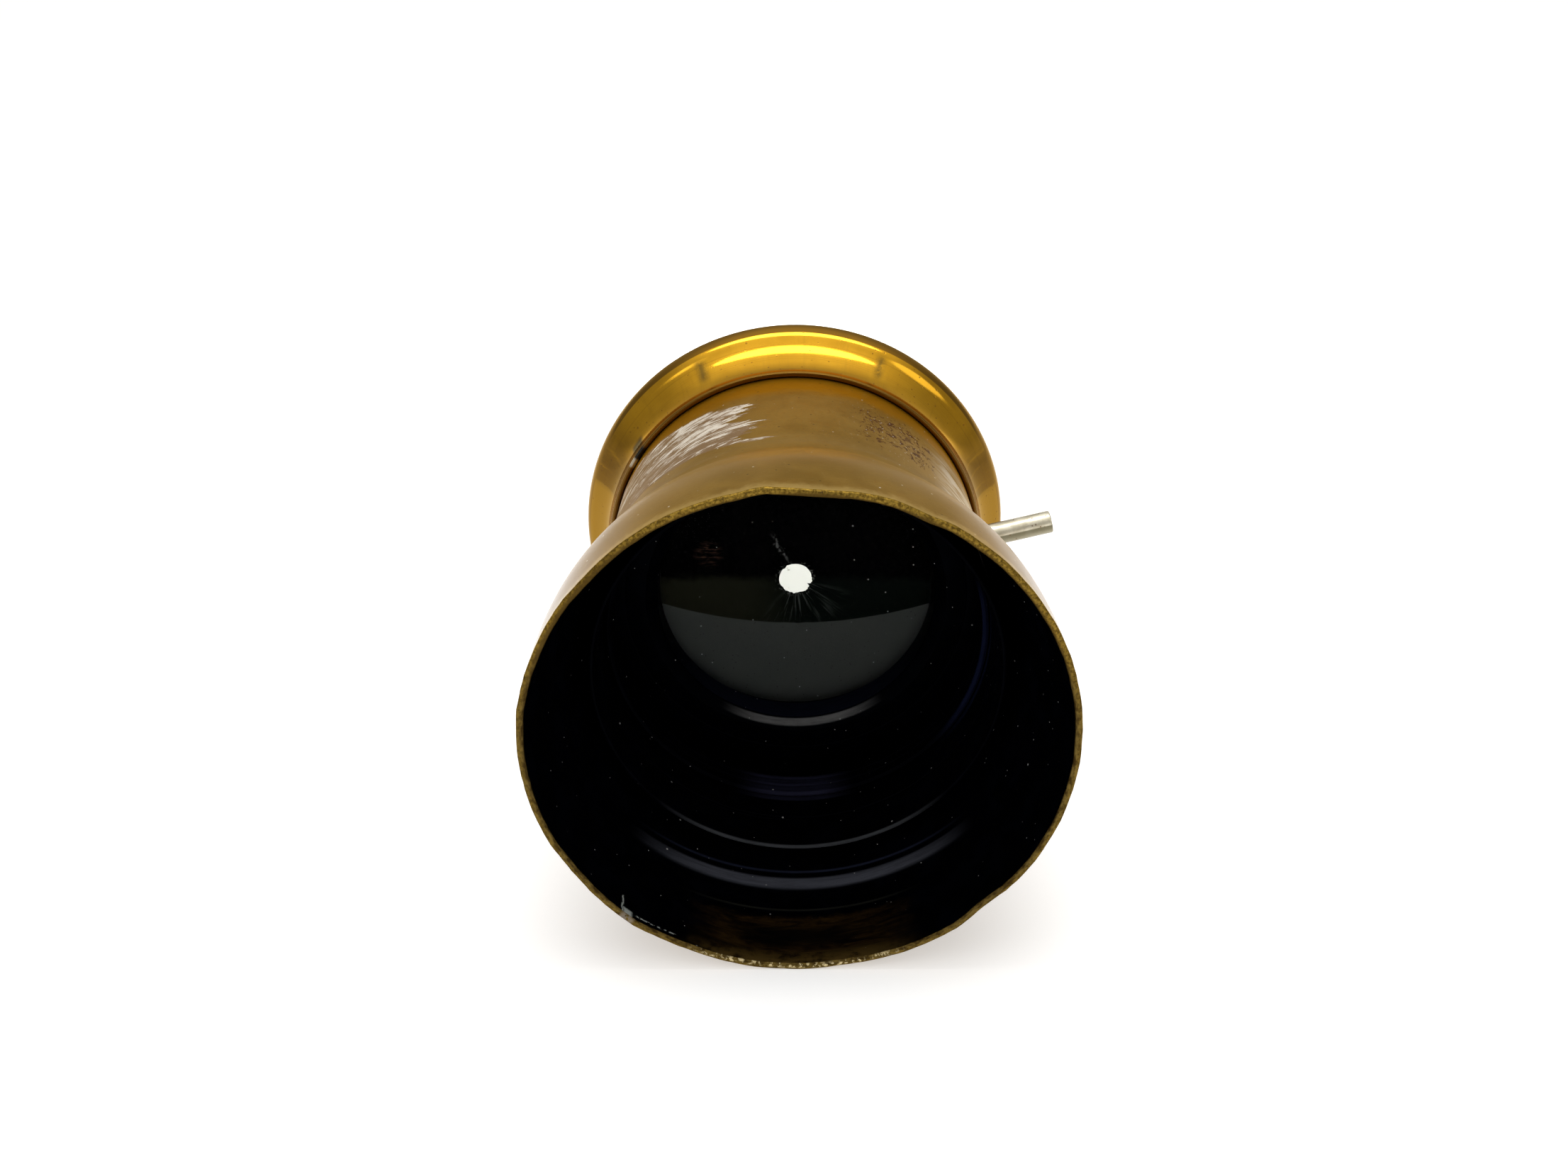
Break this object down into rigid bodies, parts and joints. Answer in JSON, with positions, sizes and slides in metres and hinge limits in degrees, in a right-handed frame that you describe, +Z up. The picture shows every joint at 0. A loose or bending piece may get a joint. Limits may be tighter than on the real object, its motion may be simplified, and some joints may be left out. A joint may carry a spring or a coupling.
{
  "type": "kaleidoscope",
  "caption": "Brass kaleidoscope with a belled viewing hood, a peephole eyepiece turned by a side pin, a polished flange and a turning drum of loose coloured glass.",
  "frame": {"origin": "middle of the bounding box on the surface that the object lies on; the optical axis passes 2.57 mm to its left and 39.95 mm above it", "axes": "+Y along the optical axis from the bell mouth to the object cell, +Z up, +X to the side of the turning pin"},
  "size_m": [0.085, 0.1234, 0.0799],
  "materials": {
    "brown_brass": "old brown lacquer over drawn brass, semi-gloss, worn and scratched",
    "polished_brass": "polished, with a golden lacquer",
    "plain_brass": "turned brass under thin lacquer",
    "blackened_brass": "matt black lacquer on turned brass",
    "steel": "plain drawn steel, slightly yellowed",
    "black_paper": "black paper, creased round its hole",
    "black_card": "black card",
    "cork": "cork sheet",
    "mirror": "front-silvered glass",
    "clear_glass": "clear polished glass with dust",
    "frosted_glass": "ground glass",
    "glass_ruby": "clear coloured glass",
    "glass_amber": "clear coloured glass",
    "glass_green": "clear coloured glass",
    "glass_blue": "clear coloured glass",
    "glass_violet": "clear coloured glass",
    "glass_rose": "clear coloured glass",
    "glass_aqua": "clear coloured glass",
    "glass_citrine": "clear coloured glass",
    "glass_indigo": "clear coloured glass"
  },
  "bodies": {
    "barrel": {"body_tube": "brown_brass", "hood_liner": "blackened_brass", "baffle_ring": "blackened_brass", "cell_thrust_ring": "blackened_brass", "flange": "polished_brass", "flange_screw_1": "steel", "flange_screw_2": "steel", "flange_screw_3": "steel", "rear_bearing": "plain_brass"},
    "carriage": {"eyepiece_cell": "blackened_brass", "eyepiece_glass": "clear_glass", "peephole_disc": "black_paper", "disc_clamp_ring": "blackened_brass", "mirror_collar": "blackened_brass", "turning_pin": "steel", "mirror_lower": "mirror", "mirror_right": "mirror", "mirror_left": "mirror", "packing_lower": "cork", "packing_right": "cork", "packing_left": "cork", "mirror_housing": "black_card", "front_mask": "black_card", "rear_mask": "black_card", "guide_ring": "cork"},
    "object_head": {"object_drum": "plain_brass", "drum_keeper_ring": "plain_brass", "grip_ring": "plain_brass", "cell_seat_ring": "plain_brass", "inner_glass": "clear_glass", "cell_spacer": "plain_brass", "frosted_glass": "frosted_glass", "end_bezel": "plain_brass", "chip_ruby": "glass_ruby", "chip_amber": "glass_amber", "chip_green": "glass_green", "chip_blue": "glass_blue", "chip_violet": "glass_violet", "chip_rose": "glass_rose", "chip_aqua": "glass_aqua", "chip_citrine": "glass_citrine", "chip_indigo": "glass_indigo"}
  },
  "joints": [
    {"name": "carriage_turn", "type": "hinge", "parent": "barrel", "child": "carriage", "pos_m": [-0.00257, -0.0057, 0.03995], "axis": [0, 1, 0], "range_deg": [0, 60]},
    {"name": "drum_turn", "type": "hinge", "parent": "barrel", "child": "object_head", "pos_m": [-0.00257, 0.0343, 0.03995], "axis": [0, 1, 0], "continuous": true}
  ]
}
